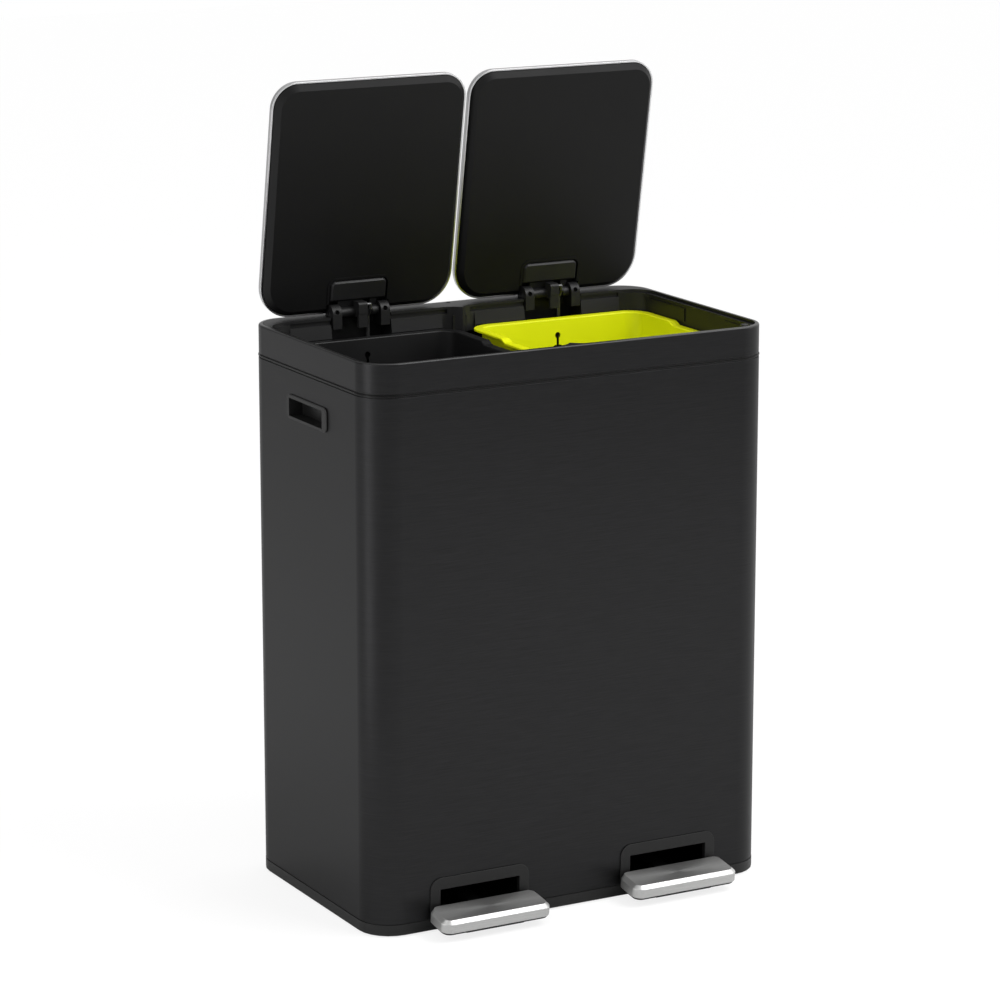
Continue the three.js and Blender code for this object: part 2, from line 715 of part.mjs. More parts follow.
const KNUCKLES = [
  [-CHEEK_INNER + GAP, LUG_W / 2],
  [ROD_X + ROD_R + 3.75, CHEEK_INNER - GAP],
];

// Stub pins: one through each cheek and its knuckle, with the push rod free between them.
function hingePin(side, [from, to], hand) {
  const outer = hand * (CHEEK_OUTER - GAP);
  const inner = hand < 0 ? to - LUG_W - 2 * GAP : from + GAP;
  return bar(
    [side * HINGE_X + outer, HINGE_Y, HINGE_Z],
    [side * HINGE_X + inner, HINGE_Y, HINGE_Z],
    PIN_R,
  );
}

// Lid pieces are drawn lid closed, from the hinge axis: -y to the lid's front edge, +z up.
const lidOutline = (side) => {
  const outer = BODY_W / 2 - LID_SIDE_INSET;
  const inner = LID_SPACING / 2;
  return new Outline({
    x: side < 0 ? [-outer, -inner] : [inner, outer],
    y: [FRONT + LID_FRONT_INSET - HINGE_Y, LID_REAR_OVERHANG],
    rFront: LID_R_FRONT,
    rBack: LID_R_REAR,
  });
};

const hingeSweep = (side) => {
  const x = side * HINGE_X;
  const half = LEAF_W / 2 + POCKET_MARGIN;
  return bar([x - half, 0, 0], [x + half, 0, 0], CHEEK_R + 0.8, 24);
};

// The steel skin of a lid: flat top, rounded edge, short skirt and a folded hem.
function lidSkin(side) {
  const plan = lidOutline(side);
  const round = (radius, edge) =>
    [0, 1, 2, 3].map((i) => {
      const angle = (i / 3) * (Math.PI / 2);
      return [edge + radius * (1 - Math.cos(angle)), LID_EDGE_Z + radius * Math.sin(angle)];
    });
  const rings = [
    ...round(LID_EDGE_ROUND - SHEET, SHEET).reverse(),
    [SHEET, LID_HEM_Z + SHEET],
    [LID_HEM, LID_HEM_Z + SHEET],
    [LID_HEM, LID_HEM_Z],
    [0, LID_HEM_Z],
    ...round(LID_EDGE_ROUND, 0),
  ];
  const skin = solid(loft(rings.map(([inset, z]) => plan.ring(inset, z))));
  return cut(skin, hingeSweep(side));
}

// The black inner panel: a shallow hollow tray with a chamfered border and a pocket for the hinge leaf.
function lidPanel(side) {
  const plan = lidOutline(side);
  const edge = LID_HEM + 0.4;
  const face = LID_PANEL_FACE;
  const wall = LID_PANEL_WALL;
  const top = LID_TOP_Z - SHEET - GAP;
  const shoulder = LID_EDGE_Z + 1.5;
  const tray = solid(
    loft(
      [
        [edge + LID_PANEL_CHAMFER, face],
        [edge, LID_HEM_Z - 1],
        [edge, shoulder],
        [edge + wall, shoulder],
        [edge + wall, LID_HEM_Z],
        [edge + LID_PANEL_CHAMFER + wall * 0.7, face + wall],
      ].map(([inset, z]) => plan.ring(inset, z)),
    ),
  );
  const floor = face + POCKET_DEPTH;
  const rear = LID_REAR_OVERHANG - edge - 0.1;
  const frame = (margin, back, r) =>
    new Outline({
      x: [side * HINGE_X - LEAF_W / 2 - margin, side * HINGE_X + LEAF_W / 2 + margin],
      y: [-LEAF_FAR - margin, back],
      rFront: LEAF_R + margin,
      rBack: r,
    });
  const walls = block(frame(POCKET_MARGIN, rear, 1), 0, [face - POCKET_LIP, floor + POCKET_WALL]);
  const pocket = block(frame(POCKET_GAP, LID_REAR_OVERHANG + 1, 1), 0, [face - POCKET_LIP - 1, floor]);
  const ribs = [0.36, 0.64].map((share) => {
    const y = plan.y[0] * share;
    return box(
      [plan.x[0] + LID_EDGE_ROUND + 1, plan.x[1] - LID_EDGE_ROUND - 1],
      [y - wall / 2, y + wall / 2],
      [face + wall / 2, top],
    );
  });
  return cut(join(tray, walls, ...ribs), pocket, hingeSweep(side));
}

// The moving half of the hinge: cover plate, knuckles and the lug that the push rod lifts.
function hingeLeaf(side) {
  const x = side * HINGE_X;
  const face = LID_PANEL_FACE - LEAF_PROUD;
  const top = LID_PANEL_FACE + POCKET_DEPTH - GAP;
  const plan = new Outline({
    x: [x - LEAF_W / 2, x + LEAF_W / 2],
    y: [-LEAF_FAR, -LEAF_NEAR],
    rFront: LEAF_R,
    rBack: 1,
  });
  const cover = solid(
    loft([plan.ring(LEAF_CHAMFER, face), plan.ring(0, face + LEAF_CHAMFER), plan.ring(0, top)]),
  );
  const knuckles = KNUCKLES.flatMap(([from, to]) => [
    bar([x + from, 0, 0], [x + to, 0, 0], KNUCKLE_R, 20),
    box([x + from, x + to], [-LEAF_NEAR - 2, -0.5], [face + 3, face + 7.5]),
  ]);
  const bore = bar([x - CHEEK_OUTER, 0, 0], [x + CHEEK_OUTER, 0, 0], PIN_R + GAP);
  return cut(join(cover, ...knuckles, lug(side)), bore, hookHole(side));
}

// Where the hook sits with the lid open, seen from the hinge axis.
const HOOK = [-LUG_REACH * Math.cos(LID_OPEN / 2), LUG_REACH * Math.sin(LID_OPEN / 2)];

// The lug is drawn lid open, as it is seen, then laid down into the closed lid.
function lug(side) {
  const x = side * HINGE_X;
  const nose = ROD_R + GAP + 1.2;
  const crown = Array.from({ length: 7 }, (_, i) => {
    const angle = Math.PI - (i / 6) * (Math.PI / 2);
    const reach = LUG_FRONT + HOOK[0];
    return [HOOK[0] + reach * Math.cos(angle), HOOK[1] + nose * Math.sin(angle)];
  });
  const profile = [
    [-LUG_FRONT + LUG_STEP, -LUG_BOTTOM],
    [-LUG_FRONT + LUG_STEP, LUG_STEP_Z],
    [-LUG_FRONT, LUG_STEP_Z],
    ...crown,
    [0, HOOK[1] + nose],
    [0, -KNUCKLE_R + 1],
    [-LUG_FRONT + LUG_LEG, -KNUCKLE_R + 1],
    [-LUG_FRONT + LUG_LEG, -LUG_BOTTOM],
  ];
  const laid = profile.map(([y, z]) => {
    const turned = new THREE.Vector2(y, z).rotateAround(new THREE.Vector2(), LID_OPEN);
    return [turned.x, turned.y];
  });
  return plate([...laid].reverse(), [x - LUG_W / 2, x + LUG_W / 2]);
}

// The hole goes in from the rod's side and stops short of the lug's far face.
const HOOK_END = -LUG_W / 2 + LUG_SKIN;
function hookHole(side) {
  const [y, z] = [HOOK[0], -HOOK[1]];
  const x = side * HINGE_X;
  return bar([x + HOOK_END, y, z], [x + LUG_W / 2 + 1, y, z], ROD_R + GAP);
}

// The push rod, lid open: hook through the lug, a step back behind the bucket, then straight down.
function pushRod(side) {
  const x = side * HINGE_X + ROD_X;
  const [hookY, hookZ] = [HINGE_Y + HOOK[0], HINGE_Z + HOOK[1]];
  const foot = LEVER_PIVOT_Z - ROD_TAIL;
  const run = wire(
    [
      [side * HINGE_X + HOOK_END + GAP, hookY, hookZ],
      [x, hookY, hookZ],
      [x, hookY, hookZ - ROD_BEND[0]],
      [x, ROD_Y, hookZ - ROD_BEND[1]],
      [x, ROD_Y, foot],
    ],
    ROD_R,
  );
  const stopZ = LEVER_PIVOT_Z + LEVER_H / 2 + ROD_PLAY;
  const stop = bar([x, ROD_Y, stopZ], [x, ROD_Y, stopZ + ROD_COLLAR_H], ROD_COLLAR_R, 12);
  return join(run, stop);
}

// ---------------------------------------------------------------- pedals

// Pedal pieces are drawn pedal up, from the lever's pivot, with the lever level.
const PEDAL_BACK = (() => {
  // the lower back edge just clears the bezel with the pedal down
  const low = PEDAL_TOP - PEDAL_BEVEL[1] - PEDAL_SKIRT - CARRIER_PROUD;
  const reach = BEZEL_FACE - PEDAL_CLEAR - LEVER_PIVOT_Y;
  return (reach + low * Math.sin(PEDAL_ANGLE)) / Math.cos(PEDAL_ANGLE);
})();
const pedalPlan = (side) =>
  new Outline({
    x: [side * PEDAL_X - PEDAL_W / 2, side * PEDAL_X + PEDAL_W / 2],
    y: [PEDAL_BACK - PEDAL_D, PEDAL_BACK],
    r: PEDAL_R,
  });

// The brushed steel cap: an upturned tray with a wide bevel.
function pedalCap(side) {
  const plan = pedalPlan(side);
  const low = PEDAL_TOP - PEDAL_BEVEL[1] - PEDAL_SKIRT;
  const knee = PEDAL_TOP - PEDAL_BEVEL[1];
  const t = PEDAL_SHEET;
  // the flat top runs on to the rear edge, where the border has no slope
  const flat = (border) =>
    new Outline({
      x: plan.x.map((x, i) => x + (i ? -border : border)),
      y: [plan.y[0] + border, plan.y[1] - border + PEDAL_BEVEL[0] - 0.6],
      rFront: PEDAL_R - PEDAL_BEVEL[0] + 2,
      rBack: PEDAL_R - PEDAL_BEVEL[0] + 2,
    });
  const cap = loft([
    flat(PEDAL_BEVEL[0] + t * 0.8).ring(0, PEDAL_TOP - t),
    plan.ring(t, knee - t * 0.6),
    plan.ring(t, low),
    plan.ring(0, low),
    plan.ring(0, knee),
    flat(PEDAL_BEVEL[0]).ring(0, PEDAL_TOP),
  ]);
  const half = LEVER_W / 2 + GAP;
  const notch = box(
    [side * PEDAL_X - half, side * PEDAL_X + half],
    [PEDAL_BACK - PEDAL_D / 2, PEDAL_BACK + 5],
    [low - 1, LEVER_H / 2 + GAP],
  );
  return cut(solid(cap), notch);
}

// The plastic carrier that fills the cap and holds the lever's tip.
function pedalCarrier(side) {
  const plan = pedalPlan(side);
  const low = PEDAL_TOP - PEDAL_BEVEL[1] - PEDAL_SKIRT;
  const knee = PEDAL_TOP - PEDAL_BEVEL[1];
  const inset = PEDAL_SHEET + GAP;
  const body = solid(
    loft(
      [
        [CARRIER_INSET + 1, low - CARRIER_PROUD],
        [CARRIER_INSET, low - CARRIER_PROUD + 1],
        [inset, knee - 1.5],
        [inset + PEDAL_BEVEL[0] + 0.8, PEDAL_TOP - PEDAL_SHEET - GAP - 0.5],
      ].map(([d, z]) => plan.ring(d, z)),
    ),
  );
  const half = LEVER_W / 2 + GAP;
  const socket = box(
    [side * PEDAL_X - half, side * PEDAL_X + half],
    [PEDAL_BACK - PEDAL_D + LEVER_TIP - GAP, PEDAL_BACK + 5],
    [-LEVER_H / 2 - GAP, LEVER_H / 2 + GAP],
  );
  return cut(body, socket);
}

// The rubber strip under the pedal's front edge.
function pedalShoe(side) {
  const [w, d, h] = SHOE;
  const top = PEDAL_TOP - PEDAL_BEVEL[1] - PEDAL_SKIRT - CARRIER_PROUD - GAP;
  const middle = PEDAL_BACK - PEDAL_D * 0.7;
  const plan = new Outline({
    x: [side * PEDAL_X - w / 2, side * PEDAL_X + w / 2],
    y: [middle - d / 2, middle + d / 2],
    r: 3,
  });
  return loft([plan.ring(0.8, top - h), plan.ring(0, top - h + 0.8), plan.ring(0, top)]);
}

// The lever: level front arm to the pedal, hub on the axle, rear arm bent down to a plate with the rod's slot.
function pedalLever(side) {
  const x = side * PEDAL_X;
  const half = LEVER_H / 2;
  const tip = PEDAL_BACK - PEDAL_D + LEVER_TIP;
  const bend = Math.tan(PEDAL_ANGLE);
  const end = LEVER_REAR + LEVER_PLATE_D / 2;
  const arm = plate(
    [
      [tip, -half],
      [0, -half],
      [end, -half - end * bend],
      [end, half - end * bend],
      [0, half],
      [tip, half],
    ],
    [x - LEVER_W / 2, x + LEVER_W / 2],
  );
  const rodX = side * HINGE_X + ROD_X;
  const margin = ROD_COLLAR_R + 2;
  const start = end - LEVER_PLATE_D;
  const foot = plate(
    [
      [start, -half - start * bend],
      [end, -half - end * bend],
      [end, half - end * bend],
      [start, half - start * bend],
    ],
    [Math.min(x - LEVER_W / 2, rodX - margin), Math.max(x + LEVER_W / 2, rodX + margin)],
  );
  const hub = bar([x - LEVER_W / 2, 0, 0], [x + LEVER_W / 2, 0, 0], LEVER_HUB_R, 20);
  const bore = bar([x - LEVER_W, 0, 0], [x + LEVER_W, 0, 0], AXLE_R + GAP);
  const slotHalf = [ROD_R + 0.8, ROD_R + 0.8 + ROD_SWING];
  const slot = box(
    [rodX - slotHalf[0], rodX + slotHalf[0]],
    [LEVER_REAR - slotHalf[1], LEVER_REAR + slotHalf[0] + 1],
    [-LEVER_REAR * bend - 20, -LEVER_REAR * bend + 20],
  );
  return cut(join(arm, foot, hub), bore, slot);
}

// ---------------------------------------------------------------- buckets

// A lift-out bucket: drafted walls, a flat rim with lowered grips, and a keyhole to hold the bag.
function bucket(side) {
  const outer = BODY_W / 2 - BUCKET_SIDE_CLEAR;
  const inner = BUCKET_SPLIT / 2;
  const [g0, g1] = BUCKET_GRIP;
  const stops = [g0 - BUCKET_GRIP_RAMP, g0, g1 - BUCKET_GRIP_RAMP, g1];
  const plan = new Outline({
    x: side < 0 ? [-outer, -inner] : [inner, outer],
    y: [FRONT + BUCKET_FRONT_CLEAR, BUCKET_REAR],
    r: BUCKET_R,
    stops,
  });
  const dip = (y) => {
    const rise = Math.max(stops[1] - y, y - stops[2]) / BUCKET_GRIP_RAMP;
    return -BUCKET_GRIP_DIP * (1 - THREE.MathUtils.clamp(rise, 0, 1));
  };
  const bottom = FLOOR_TOP + GAP;
  const foot = BUCKET_FLANGE + BUCKET_DRAFT;
  const under = BUCKET_TOP - BUCKET_FLANGE_H;
  const walls = solid(
    loft([
      plan.ring(foot + 5, bottom),
      plan.ring(foot, bottom + 5),
      plan.ring(BUCKET_FLANGE, under, dip),
      plan.ring(0, under, dip),
      plan.ring(0, BUCKET_TOP, dip),
      plan.ring(BUCKET_FLANGE + BUCKET_WALL, BUCKET_TOP, dip),
      plan.ring(foot + BUCKET_WALL, bottom + 6),
      plan.ring(foot + 5 + BUCKET_WALL, bottom + BUCKET_WALL),
    ]),
  );
  const x = (plan.x[0] + plan.x[1]) / 2;
  const through = (radius, z, sides) =>
    bar([x, BUCKET_REAR - 25, z], [x, BUCKET_REAR + 5, z], radius, sides);
  const keyhole = join(
    through(KEY_EYE[0], KEY_EYE[1], 12),
    box([x - KEY_SLOT_W / 2, x + KEY_SLOT_W / 2], [BUCKET_REAR - 25, BUCKET_REAR + 5], [KEY_HOLE[1], KEY_EYE[1]]),
    through(KEY_HOLE[0], KEY_HOLE[1], 24),
  );
  return cut(walls, keyhole);
}

// ---------------------------------------------------------------- assembly

const bin = new THREE.Group();

piece("base_tray", baseTray(), blackPlastic, bin);
for (const [end, y] of [
  ["front", FRONT + FOOT_INSET],
  ["rear", BACK - FOOT_INSET],
])
  for (const [name, side] of SIDES) {
    const x = side * (BODY_W / 2 - FOOT_INSET);
    piece(`foot_${end}_${name}`, bar([x, y, 0], [x, y, BASE_BOTTOM - GAP], FOOT_R, 20), rubber, bin);
  }
piece("bucket_shelf", bucketShelf(), blackPlastic, bin);
piece("body_shell", bodyShell(), blackSteel, bin);
piece("trim_ring", trimRing(), blackSteel, bin);
piece("rim_band", rimBand(), blackSteel, bin);
piece("rim_plug", plugBar(PLUG_R, 3.5), rubber, bin);
piece("collar", collar(), blackPlastic, bin);

for (const [name, side] of SIDES) {
  piece(`handle_cup_${name}`, handleCup(side), blackPlastic, bin);
  piece(`lid_bumper_${name}`, bumper(side), rubber, bin);
  piece(`pedal_bezel_${name}`, pedalBezel(side), blackPlastic, bin);
  piece(`hinge_block_${name}`, hingeBlock(side), blackPlastic, bin);
  piece(`hinge_pin_outer_${name}`, hingePin(side, KNUCKLES[side < 0 ? 0 : 1], side), wireSteel, bin);
  piece(`hinge_pin_inner_${name}`, hingePin(side, KNUCKLES[side < 0 ? 1 : 0], -side), wireSteel, bin);
  piece(`lever_bracket_${name}`, leverBracket(side), wireSteel, bin);
  piece(`lever_axle_${name}`, axleBar(side, AXLE_R, 2), wireSteel, bin);
  piece(`bucket_${name}`, bucket(side), side < 0 ? blackPlastic : limePlastic, bin);
  piece(`push_rod_${name}`, pushRod(side), wireSteel, bin);

  const lid = new THREE.Group();
  lid.position.set(0, HINGE_Y, HINGE_Z);
  lid.rotation.x = -LID_OPEN;
  bin.add(lid);
  piece(`lid_skin_${name}`, lidSkin(side), edgeSteel, lid);
  piece(`lid_panel_${name}`, lidPanel(side), lidPlastic, lid);
  piece(`hinge_leaf_${name}`, hingeLeaf(side), blackPlastic, lid);

  const pedal = new THREE.Group();
  pedal.position.set(0, LEVER_PIVOT_Y, LEVER_PIVOT_Z);
  pedal.rotation.x = PEDAL_ANGLE;
  bin.add(pedal);
  piece(`pedal_lever_${name}`, pedalLever(side), wireSteel, pedal);
  piece(`pedal_cap_${name}`, pedalCap(side), pedalSteel, pedal);
  piece(`pedal_carrier_${name}`, pedalCarrier(side), blackPlastic, pedal);
  piece(`pedal_shoe_${name}`, pedalShoe(side), rubber, pedal);
}

// The frame's origin lies on the floor under the middle of the whole bin, pedals included.
const footprint = new THREE.Box3().setFromObject(bin, true);
bin.position.y = Math.round(-50 * (footprint.min.y + footprint.max.y)) / 100;

const group = new THREE.Group();
group.add(bin);

console.log("bin moved in y by", bin.position.y.toFixed(4));
console.log("hinge axis at y", (bin.position.y + HINGE_Y).toFixed(4), "z", HINGE_Z);
console.log("lever pivot at y", (bin.position.y + LEVER_PIVOT_Y).toFixed(4), "z", LEVER_PIVOT_Z);
console.log(
  "hook at y",
  (bin.position.y + HINGE_Y + HOOK[0]).toFixed(4),
  "z",
  (HINGE_Z + HOOK[1]).toFixed(4),
);

export default group;
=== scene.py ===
# %% [markdown]
# # A double recycling bin with two pedals
# The bin is a tall box of dark brushed steel. It holds two lift-out buckets, and each bucket has a
# lid that its own pedal opens. The exact solids come first, as a fixed frame. Each piece that shows is
# then either kept, with softened edges and a real finish, or made again with finer curves.

# %% Load the frame
import json
import math

import bpy
from mathutils import Matrix, Vector


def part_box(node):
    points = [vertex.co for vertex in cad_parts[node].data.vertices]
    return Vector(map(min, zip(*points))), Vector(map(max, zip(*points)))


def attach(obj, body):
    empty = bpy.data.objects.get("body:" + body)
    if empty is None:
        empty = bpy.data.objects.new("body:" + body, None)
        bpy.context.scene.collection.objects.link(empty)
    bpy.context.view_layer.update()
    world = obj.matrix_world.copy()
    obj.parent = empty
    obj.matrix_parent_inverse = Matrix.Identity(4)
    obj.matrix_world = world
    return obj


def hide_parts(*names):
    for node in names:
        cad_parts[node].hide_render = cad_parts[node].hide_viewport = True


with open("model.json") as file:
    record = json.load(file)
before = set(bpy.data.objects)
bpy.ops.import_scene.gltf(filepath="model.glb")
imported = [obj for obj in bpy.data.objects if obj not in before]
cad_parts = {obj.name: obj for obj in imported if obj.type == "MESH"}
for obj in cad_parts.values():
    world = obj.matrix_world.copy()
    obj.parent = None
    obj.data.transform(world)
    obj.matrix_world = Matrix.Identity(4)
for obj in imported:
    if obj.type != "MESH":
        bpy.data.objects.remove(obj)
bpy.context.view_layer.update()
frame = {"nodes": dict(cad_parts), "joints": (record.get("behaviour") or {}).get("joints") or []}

nodes = frame["nodes"]
print("solids in the frame:", len(nodes))

# %% [markdown]
# ## The bin's own measures
# All sizes are in millimetres and are turned into metres when a mesh is made. The housing's middle
# lies a little behind the origin, because the pedals stick out in front: the frame tells how much.

# %% Measures that several pieces share
MM = 0.001
shell_low, shell_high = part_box("body_shell")
MIDDLE_Y = (shell_low.y + shell_high.y) / 2 / MM
WIDTH, DEPTH, CORNER_R = 500, 304, 38
RIM_TOP = 636
FRONT, BACK = MIDDLE_Y - DEPTH / 2, MIDDLE_Y + DEPTH / 2
HINGE = next(j for j in frame["joints"] if j["name"] == "lid_hinge_right")
HINGE_X, HINGE_Y, HINGE_Z = (value / MM for value in HINGE["pos_m"])
PIVOT = next(j for j in frame["joints"] if j["name"] == "pedal_hinge_right")
PEDAL_X, PIVOT_Y, PIVOT_Z = (value / MM for value in PIVOT["pos_m"])
LID_OPEN = math.radians(80.14)
PEDAL_DOWN = math.radians(8)
SIDES = (("left", -1), ("right", 1))
print("middle of the housing at y", round(MIDDLE_Y, 3), "hinge axis", round(HINGE_Y, 2), HINGE_Z)

# %% [markdown]
# ## Camera
# The camera stands where the photograph was taken from: far off to the front left and a little above,
# with a long lens, so that upright edges stay nearly parallel.

# %% Camera
camera_data = bpy.data.cameras.new("camera")
camera_data.lens = 136.363
camera_data.sensor_width = 36
camera_data.clip_end = 50
camera = bpy.data.objects.new("camera", camera_data)
bpy.context.scene.collection.objects.link(camera)
bpy.context.scene.camera = camera
turn, tilt = math.radians(28.7727), math.radians(13.2267)
forward = Vector(
    (math.sin(turn) * math.cos(tilt), math.cos(turn) * math.cos(tilt), -math.sin(tilt))
)
camera.rotation_euler = forward.to_track_quat("-Z", "Y").to_euler()
camera.location = Vector((-2.00353, -3.62784 + MIDDLE_Y * MM, 1.40735))
print("camera at", [round(v, 3) for v in camera.location])

# %% [markdown]
# ## Rounded hoops
# Most pieces of the bin are hoops: a section that runs round a rectangle with round corners. A hoop
# could be a curve with a bevel, but a curve swells in tight corners. Here each point of the section
# becomes one ring of points at its own inset, and neighbouring rings are joined by faces.

# %% Rounded rectangles and sections


def fillet(points, radii, steps=4, closed=True):
    """A flat outline with each corner turned into an arc of its own radius."""
    out = []
    count = len(points)
    for i, point in enumerate(points):
        here = Vector(point)
        radius = radii[i] if isinstance(radii, (list, tuple)) else radii
        end = not closed and i in (0, count - 1)
        if radius <= 0 or end:
            out.append(tuple(here))
            continue
        back = Vector(points[i - 1]) - here
        on = Vector(points[(i + 1) % count]) - here
        half = back.angle(on) / 2
        run = min(radius / math.tan(half), back.length * 0.49, on.length * 0.49)
        radius = run * math.tan(half)
        start = here + back.normalized() * run
        stop = here + on.normalized() * run
        middle = here + (back.normalized() + on.normalized()).normalized() * (radius / math.sin(half))
        arm_a, arm_b = start - middle, stop - middle
        sweep = arm_a.angle_signed(arm_b)
        for k in range(steps + 1):
            turned = arm_a.copy()
            turned.rotate(Matrix.Rotation(-sweep * k / steps, 2))
            out.append(tuple(middle + turned))
    return out


def plan(x, y, front_r, back_r=None, stops=()):
    """A rectangle with round corners, seen from above."""
    return {"x": x, "y": y, "front": front_r, "back": back_r or front_r, "stops": stops}


def ring(shape, inset, z, steps=14, lift=None):
    """Points of the rectangle, moved in by inset, at height z."""
    x0, x1 = shape["x"][0] + inset, shape["x"][1] - inset
    y0, y1 = shape["y"][0] + inset, shape["y"][1] - inset
    front, back = (max(shape[end] - inset, 0.5) for end in ("front", "back"))
    points = []

    def corner(cx, cy, radius, start):
        for k in range(steps + 1):
            angle = math.radians(start + 90 * k / steps)
            points.append((cx + radius * math.cos(angle), cy + radius * math.sin(angle)))

    corner(x1 - back, y1 - back, back, 0)
    corner(x0 + back, y1 - back, back, 90)
    points += [(x0, y) for y in reversed(shape["stops"])]
    corner(x0 + front, y0 + front, front, 180)
    corner(x1 - front, y0 + front, front, 270)
    points += [(x1, y) for y in shape["stops"]]
    return [(x, y, z + (lift(y) if lift else 0)) for x, y in points]


# %% Meshes from rings and outlines


def mesh_object(name, points, faces):
    mesh = bpy.data.meshes.new(name)
    mesh.from_pydata([tuple(c * MM for c in p) for p in points], [], faces)
    mesh.validate()
    made = bpy.data.objects.new(name, mesh)
    bpy.context.scene.collection.objects.link(made)
    return made


def hoop(name, rings, joined):
    """Skins a row of rings. joined=True makes a closed hoop, otherwise both ends get a face."""
    count = len(rings[0])
    faces = []
    for i in range(len(rings) if joined else len(rings) - 1):
        a, b = i * count, (i + 1) % len(rings) * count
        for k in range(count):
            n = (k + 1) % count
            faces.append((a + k, a + n, b + n, b + k))
    if not joined:
        faces.append(tuple(reversed(range(count))))
        faces.append(tuple(range((len(rings) - 1) * count, len(rings) * count)))
    return mesh_object(name, [p for r in rings for p in r], faces)


def section_hoop(name, shape, section, radii, joined=True, steps=14, lift=None, arc=3):
    """A hoop whose section is a list of (inset, height), with its corners rounded."""
    points = fillet(section, radii, arc, closed=joined)
    return hoop(name, [ring(shape, inset, z, steps, lift) for inset, z in points], joined)


def slab(name, outline, axis, start, end):
    """A flat outline as thick as start to end, along axis X, Y or Z."""
    place = {
        "X": lambda a, b, t: (t, a, b),
        "Y": lambda a, b, t: (a, t, b),
        "Z": lambda a, b, t: (a, b, t),
    }[axis]
    count = len(outline)
    points = [place(a, b, start) for a, b in outline] + [place(a, b, end) for a, b in outline]
    faces = [(k, (k + 1) % count, count + (k + 1) % count, count + k) for k in range(count)]
    faces += [tuple(reversed(range(count))), tuple(range(count, 2 * count))]
    made = mesh_object(name, points, faces)
    face_out(made)
    return made


def face_out(made):
    """Turns every face outwards."""
    import bmesh

    work = bmesh.new()
    work.from_mesh(made.data)
    bmesh.ops.recalc_face_normals(work, faces=work.faces)
    work.to_mesh(made.data)
    work.free()


def box_outline(a0, a1, b0, b1, radius=0, steps=5):
    return fillet([(a0, b0), (a1, b0), (a1, b1), (a0, b1)], radius, steps)


# %% [markdown]
# ## Cutting and softening
# Slots and holes are cut with Blender's Boolean modifier, and the result is kept as the piece's mesh.
# Real edges are never sharp: a narrow bevel catches the light. On the kept solids the flat faces arrive
# as many triangles, so they are welded and merged into whole faces before the bevel.

# %% Cut, join, soften


def settle(made):
    """Makes the modifiers' result the mesh itself."""
    bpy.context.view_layer.update()
    graph = bpy.context.evaluated_depsgraph_get()
    mesh = bpy.data.meshes.new_from_object(made.evaluated_get(graph))
    made.modifiers.clear()
    made.data = mesh
    return made


def combine(made, tools, operation):
    for tool in tools:
        step = made.modifiers.new("cut", "BOOLEAN")
        step.operation = operation
        step.solver = "EXACT"
        step.object = tool
        settle(made)
        bpy.data.objects.remove(tool)
    return made


def cut_out(made, *tools):
    return combine(made, tools, "DIFFERENCE")


def add_on(made, *tools):
    return combine(made, tools, "UNION")


def soften(made, width, segments=2, angle=30, merge=False):
    """A bevel on every edge sharper than angle, with clean shading on the flats."""
    for polygon in made.data.polygons:
        polygon.use_smooth = True
    if merge:
        weld = made.modifiers.new("weld", "WELD")
        weld.merge_threshold = 0.00002
        flat = made.modifiers.new("merge flat faces", "DECIMATE")
        flat.decimate_type = "DISSOLVE"
        flat.angle_limit = math.radians(0.5)
    bevel = made.modifiers.new("soft edges", "BEVEL")
    bevel.width = width * MM
    bevel.segments = segments
    bevel.limit_method = "ANGLE"
    bevel.angle_limit = math.radians(angle)
    bevel.harden_normals = True
    bevel.use_clamp_overlap = True
    normal = made.modifiers.new("clean shading", "WEIGHTED_NORMAL")
    normal.keep_sharp = True
    return made


def shade(made):
    """Smooth shading that leaves the flats flat."""
    for polygon in made.data.polygons:
        polygon.use_smooth = True
    normal = made.modifiers.new("clean shading", "WEIGHTED_NORMAL")
    normal.keep_sharp = True
    return made


# %% [markdown]
# ## Finishes
# A brushed sheet is a mirror with countless fine scratches in one direction. The scratches are two
# noises stretched along the grain, one finer than the other. They vary the roughness, the colour and a
# very shallow bump. Anisotropy makes the highlight longer in one direction than in the other.

# %% A helper for node materials


